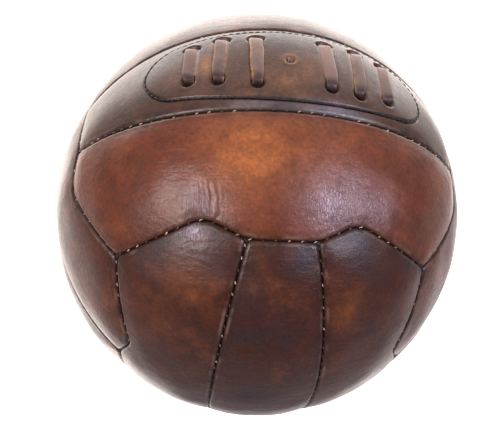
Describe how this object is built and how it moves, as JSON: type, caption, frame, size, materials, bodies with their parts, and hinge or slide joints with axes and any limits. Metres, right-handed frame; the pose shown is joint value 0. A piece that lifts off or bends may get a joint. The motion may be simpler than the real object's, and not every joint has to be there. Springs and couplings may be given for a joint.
{
  "type": "laced leather football",
  "caption": "Round hand-stitched leather ball: strip panels that meet in zigzag seams, a laced panel with a needle valve, and an air bladder inside its linings.",
  "frame": {"origin": "centre of the ball", "axes": "+Z out through the laced panel and the needle valve, +X along the laced panel, -Y towards the panels below the lacing's round holes"},
  "size_m": [0.22, 0.22, 0.2212],
  "materials": {
    "panel_leather": "waxed and burnished, worn along the seams",
    "lacing_panel_leather": "waxed, dry and slightly grey",
    "lace_leather": "matte thong with rubbed amber edges",
    "patch_leather": "undyed, flesh side",
    "lining_cotton": "glued cotton canvas",
    "seam_thread": "waxed linen",
    "patch_thread": "waxed linen, black",
    "bladder_rubber": "smooth moulded rubber",
    "valve_rubber": "smooth moulded rubber"
  },
  "bodies": {
    "root": {"back_bottom_seam_thread": "seam_thread", "back_left_panel": "panel_leather", "back_linings": "lining_cotton", "back_middle_panel": "panel_leather", "back_right_panel": "panel_leather", "back_straight_seam_threads": "seam_thread", "back_top_seam_thread": "seam_thread", "bladder": "bladder_rubber", "bottom_back_panel": "panel_leather", "bottom_front_panel": "panel_leather", "bottom_left_seam_thread": "seam_thread", "bottom_linings": "lining_cotton", "bottom_middle_panel": "panel_leather", "bottom_right_seam_thread": "seam_thread", "bottom_straight_seam_threads": "seam_thread", "front_bottom_seam_thread": "seam_thread", "front_left_panel": "panel_leather", "front_linings": "lining_cotton", "front_middle_panel": "panel_leather", "front_right_panel": "panel_leather", "front_straight_seam_threads": "seam_thread", "front_top_seam_thread": "seam_thread", "lacing_patch": "patch_leather", "left_back_seam_thread": "seam_thread", "left_front_seam_thread": "seam_thread", "left_lace": "lace_leather", "left_linings": "lining_cotton", "left_lower_panel": "panel_leather", "left_middle_panel": "panel_leather", "left_straight_seam_threads": "seam_thread", "left_upper_panel": "panel_leather", "patch_thread": "patch_thread", "right_back_seam_thread": "seam_thread", "right_front_seam_thread": "seam_thread", "right_lace": "lace_leather", "right_linings": "lining_cotton", "right_lower_panel": "panel_leather", "right_middle_panel": "panel_leather", "right_straight_seam_threads": "seam_thread", "right_upper_panel": "panel_leather", "top_back_panel": "panel_leather", "top_front_panel": "panel_leather", "top_lacing_panel": "lacing_panel_leather", "top_left_seam_thread": "seam_thread", "top_linings": "lining_cotton", "top_right_seam_thread": "seam_thread", "top_straight_seam_threads": "seam_thread", "valve_body": "valve_rubber", "valve_plug": "valve_rubber"}
  },
  "joints": []
}
